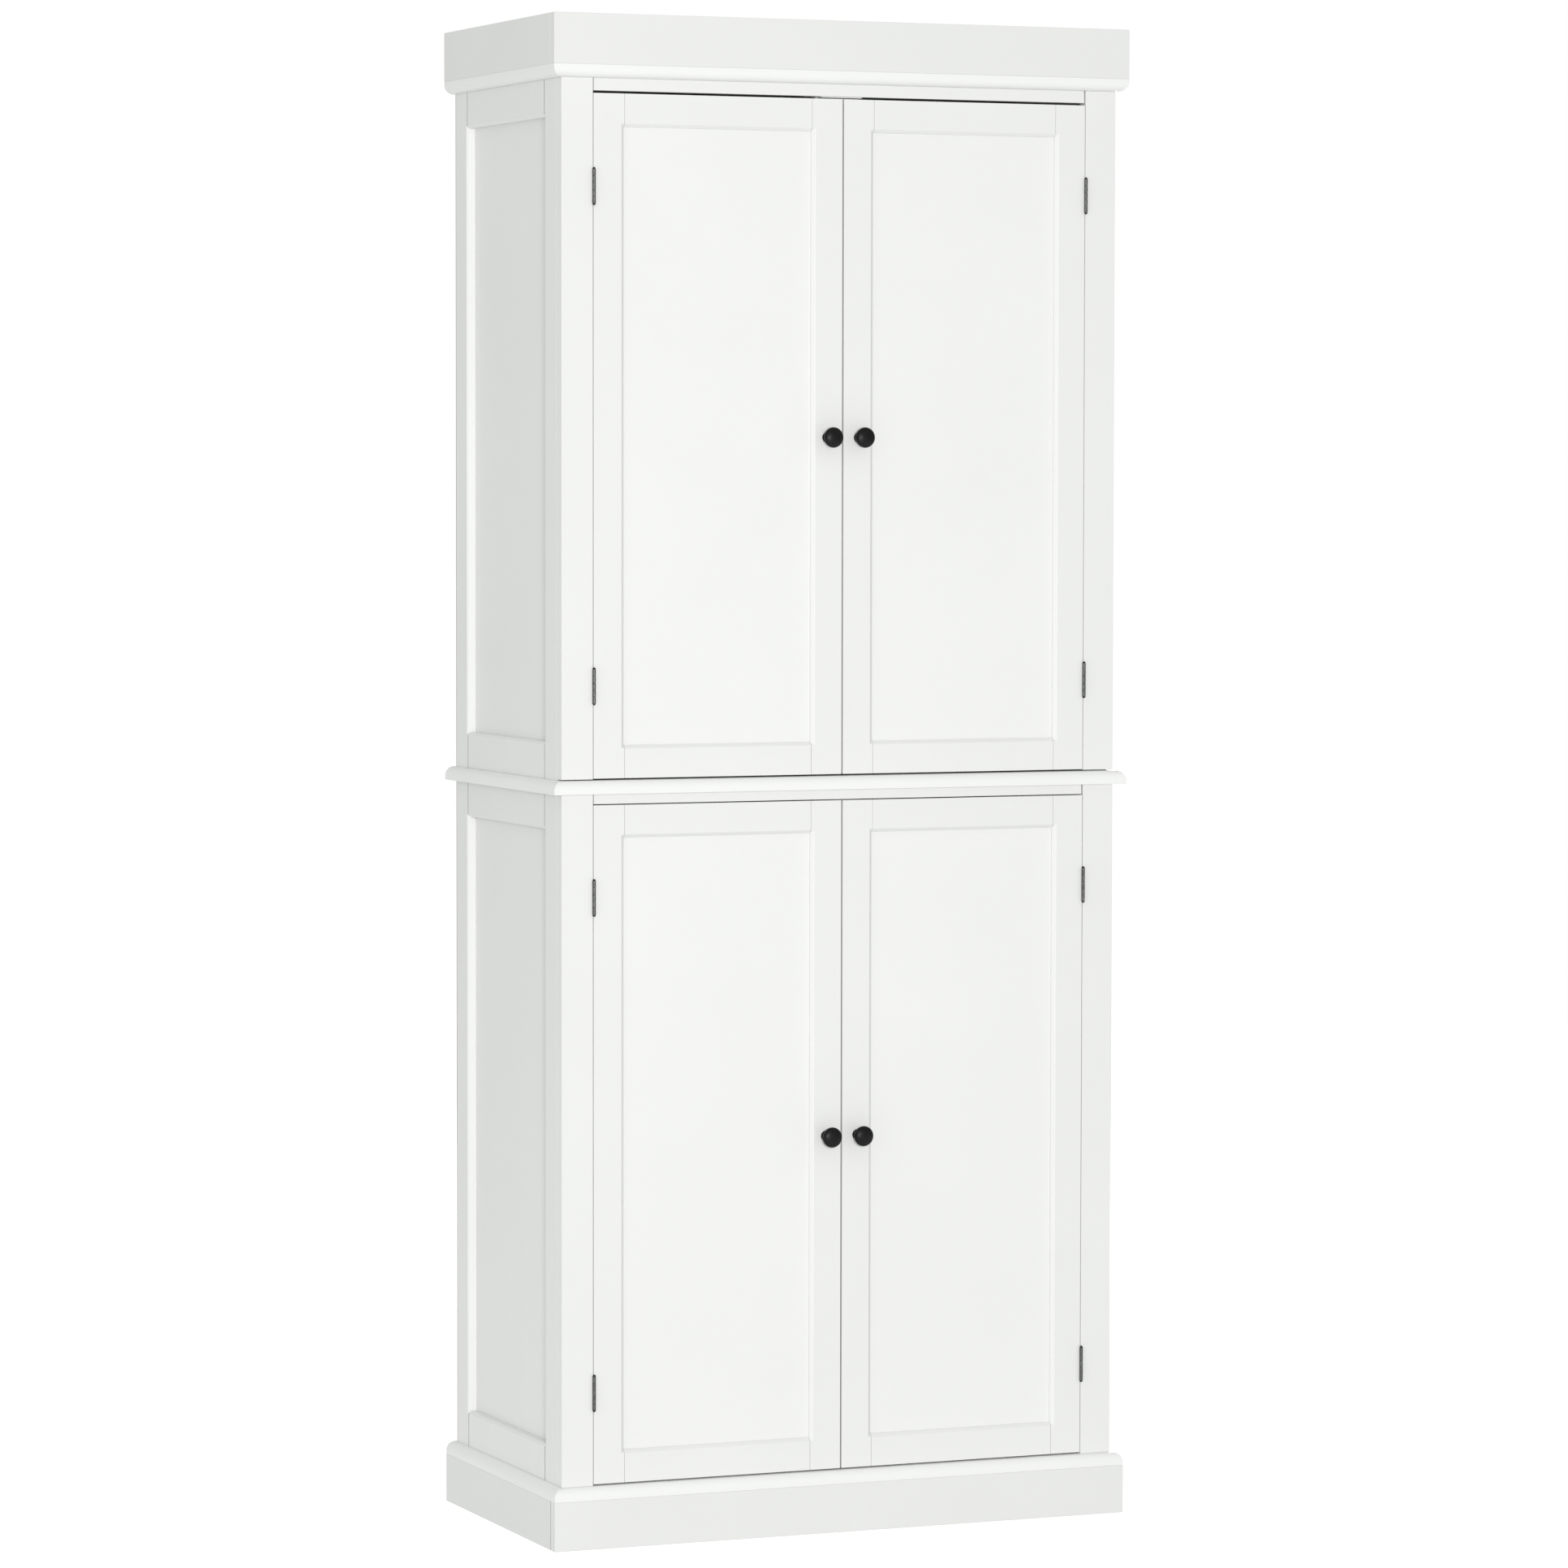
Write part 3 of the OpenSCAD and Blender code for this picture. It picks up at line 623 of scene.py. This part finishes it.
def make_door_screws(door):
    """The screws of a door's hinge leaves, strike plate and knob."""
    build = bmesh.new()
    for place in leaf_screw_places(door, True):
        add_copy(build, HINGE_SCREW, place)
    low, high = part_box(door + "_strike_plate")
    strike = ((low.x + high.x) / 2, high.y, (low.z + high.z) / 2)
    add_copy(build, HINGE_SCREW, turned_along(strike, (0, -1, 0), STRIKE_SPIN))
    low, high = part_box(door + "_knob")
    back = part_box(door + "_door_frame")[1].y
    knob = ((low.x + high.x) / 2, back, (low.z + high.z) / 2)
    add_copy(build, KNOB_SCREW, turned_along(knob, (0, -1, 0), KNOB_SPIN))
    mesh = bpy.data.meshes.new(door + "_cross_screws")
    build.to_mesh(mesh)
    build.free()
    new_piece(door + "_cross_screws", mesh, door + "_door", "zinc_steel", door + "_door_screws")


def make_carcass_screws():
    """The screws of the frame leaves and of the catches."""
    build = bmesh.new()
    for door in DOORS:
        for place in leaf_screw_places(door, False):
            add_copy(build, HINGE_SCREW, place)
    low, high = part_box("magnetic_catches")
    for foot in (low.z, high.z - CATCH_H):
        for x in (-CATCH_SCREW_X, CATCH_SCREW_X):
            place = (x, high.y - CATCH_D / 2, foot)
            add_copy(build, CATCH_SCREW, turned_along(place, (0, 0, 1), CATCH_SPIN * x))
    mesh = bpy.data.meshes.new("carcass_cross_screws")
    build.to_mesh(mesh)
    build.free()
    new_piece("carcass_cross_screws", mesh, "carcass", "zinc_steel", "carcass_screws")


PIN_R = 2.5 * MM
PIN_OUTLINE = in_metres(
    [(0, 0), (1.9, 0), (2.5, 0.6), (2.5, 8), (3.7, 8), (3.9, 8.2), (3.9, 8.6)]
    + [(3.7, 8.8), (2.5, 8.8), (2.5, 16.2), (2.3, 16.7), (1.7, 17), (0, 17)]
)
PIN_SIDES = 32


def make_shelf_pins():
    """Turned pins with a collar against the side frames, four under each shelf."""
    build = bmesh.new()
    low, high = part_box("shelf_pins")
    for shelf in ("lower_shelf", "middle_shelf", "top_shelf"):
        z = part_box(shelf)[0].z - PIN_R
        for y in (low.y + PIN_R, high.y - PIN_R):
            for end, way in ((low.x, 1), (high.x, -1)):
                place = turned_along((end, y, z), (way, 0, 0), 0)
                add_turned(build, PIN_OUTLINE, PIN_SIDES, place)
    mesh = smooth_mesh("shelf_pins", build)
    new_piece("collared_shelf_pins", mesh, "carcass", "zinc_steel", "shelf_pins")


POLE_SIZE = Vector((18 * MM, 9 * MM, 0.8 * MM))
POLE_PROUD = 0.2 * MM
POLE_GAP = 3.4 * MM
POLE_EDGE = 0.15 * MM
MAGNET_X = 13 * MM


def make_pole_plates():
    """Thin steel plates above and below each magnet, just proud of the housing."""
    build = bmesh.new()
    low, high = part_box("magnetic_catches")
    front = high.y - CATCH_D - POLE_PROUD
    for foot in (low.z, high.z - CATCH_H):
        for x in (-MAGNET_X, MAGNET_X):
            for way in (-1, 1):
                middle = Vector((x, front + POLE_SIZE.y / 2, foot + CATCH_H / 2 + way * POLE_GAP))
                size = Matrix.Diagonal((*POLE_SIZE, 1))
                bmesh.ops.create_cube(build, size=1, matrix=Matrix.Translation(middle) @ size)
    edges = list(build.edges)
    bmesh.ops.bevel(build, geom=edges, offset=POLE_EDGE, segments=2, affect="EDGES", profile=0.5)
    new_piece("catch_pole_plates", smooth_mesh("pole_plates", build), "carcass", "zinc_steel")


# ---- studio ----

SKY_LEFT = 0.81
SKY_RIGHT = 0.46
SKY_BELOW = 1.01
SKY_ABOVE = 1.02

FLOOR_RADIUS = 9
FLOOR_GLOW = 0.45
FLOOR_DROP = 0.2 * MM

# each light's place, size in metres and power in watts
KEY_PLACE = (-1.92, -5.8, 1.35)
KEY_SIZE = 0.67
KEY_POWER = 186
REAR_PLACE = (2.6, 3.4, 1.5)
REAR_SIZE = 1.4
REAR_POWER = 95
LIGHTS_AIM = (0, 0, 0.93)


def make_world():
    """Soft pale light from all around, dimmer from the right, and a white backdrop."""
    world = bpy.data.worlds.new("studio")
    world.use_nodes = True
    tree = world.node_tree
    tree.nodes.clear()
    way = node(tree, "ShaderNodeTexCoord")
    across = node(tree, "ShaderNodeSeparateXYZ")
    tree.links.new(way.outputs["Generated"], across.inputs["Vector"])
    strength = node(
        tree,
        "ShaderNodeMapRange",
        {"From Min": -1, "From Max": 1, "To Min": SKY_LEFT, "To Max": SKY_RIGHT},
    )
    tree.links.new(across.outputs["X"], strength.inputs["Value"])
    upward = node(
        tree,
        "ShaderNodeMapRange",
        {"From Min": -1, "From Max": 1, "To Min": SKY_BELOW, "To Max": SKY_ABOVE},
    )
    tree.links.new(across.outputs["Z"], upward.inputs["Value"])
    both = node(tree, "ShaderNodeMath", operation="MULTIPLY")
    tree.links.new(strength.outputs["Result"], both.inputs[0])
    tree.links.new(upward.outputs["Result"], both.inputs[1])
    lit = node(tree, "ShaderNodeBackground", {"Color": (0.98, 1, 0.975, 1)})
    tree.links.new(both.outputs["Value"], lit.inputs["Strength"])
    seen = node(tree, "ShaderNodeBackground", {"Color": (1, 1, 1, 1), "Strength": 1})
    path = node(tree, "ShaderNodeLightPath")
    mix = node(tree, "ShaderNodeMixShader")
    out = node(tree, "ShaderNodeOutputWorld")
    tree.links.new(path.outputs["Is Camera Ray"], mix.inputs["Fac"])
    tree.links.new(lit.outputs["Background"], mix.inputs[1])
    tree.links.new(seen.outputs["Background"], mix.inputs[2])
    tree.links.new(mix.outputs["Shader"], out.inputs["Surface"])
    bpy.context.scene.world = world


def floor_material():
    """Pale matt floor that fades out towards its rim."""
    material, tree, shader = new_material("floor")
    shader.inputs["Base Color"].default_value = (0.9, 0.9, 0.9, 1)
    shader.inputs["Emission Color"].default_value = (1, 1, 1, 1)
    shader.inputs["Emission Strength"].default_value = FLOOR_GLOW
    shader.inputs["Roughness"].default_value = 0.9
    shader.inputs["Specular IOR Level"].default_value = 0
    length = node(tree, "ShaderNodeVectorMath", operation="LENGTH")
    tree.links.new(place_in_metres(tree), length.inputs[0])
    fade = node(
        tree,
        "ShaderNodeMapRange",
        {"From Min": 0.3 * FLOOR_RADIUS, "From Max": FLOOR_RADIUS, "To Min": 1, "To Max": 0},
        interpolation_type="SMOOTHSTEP",
    )
    tree.links.new(length.outputs["Value"], fade.inputs["Value"])
    tree.links.new(fade.outputs["Result"], shader.inputs["Alpha"])
    return material


def make_floor():
    mesh = bpy.data.meshes.new("floor")
    build = bmesh.new()
    bmesh.ops.create_circle(build, cap_ends=True, segments=96, radius=FLOOR_RADIUS)
    build.to_mesh(mesh)
    build.free()
    floor = bpy.data.objects.new("floor", mesh)
    floor.location.z = cad_box[0].z - FLOOR_DROP
    floor.visible_diffuse = False
    mesh.materials.append(floor_material())
    bpy.context.scene.collection.objects.link(floor)


def soft_box(name, place, aim, size, power):
    """A square area light that faces the point aim."""
    data = bpy.data.lights.new(name, "AREA")
    data.shape = "SQUARE"
    data.size = size
    data.energy = power
    light = bpy.data.objects.new(name, data)
    light.location = place
    light.visible_camera = False
    way = Vector(aim) - Vector(place)
    light.rotation_euler = way.to_track_quat("-Z", "Y").to_euler()
    bpy.context.scene.collection.objects.link(light)


def make_lights():
    """A key light in front, to the left, and a rear light for the right side and the back."""
    soft_box("key_light", KEY_PLACE, LIGHTS_AIM, KEY_SIZE, KEY_POWER)
    soft_box("rear_light", REAR_PLACE, LIGHTS_AIM, REAR_SIZE, REAR_POWER)


make_camera()
make_world()
make_floor()
make_lights()
finish_cad_nodes()
make_knobs()
for name in DOORS:
    make_door_screws(name)
make_carcass_screws()
make_shelf_pins()
make_pole_plates()

bpy.context.scene.view_settings.view_transform = "Standard"
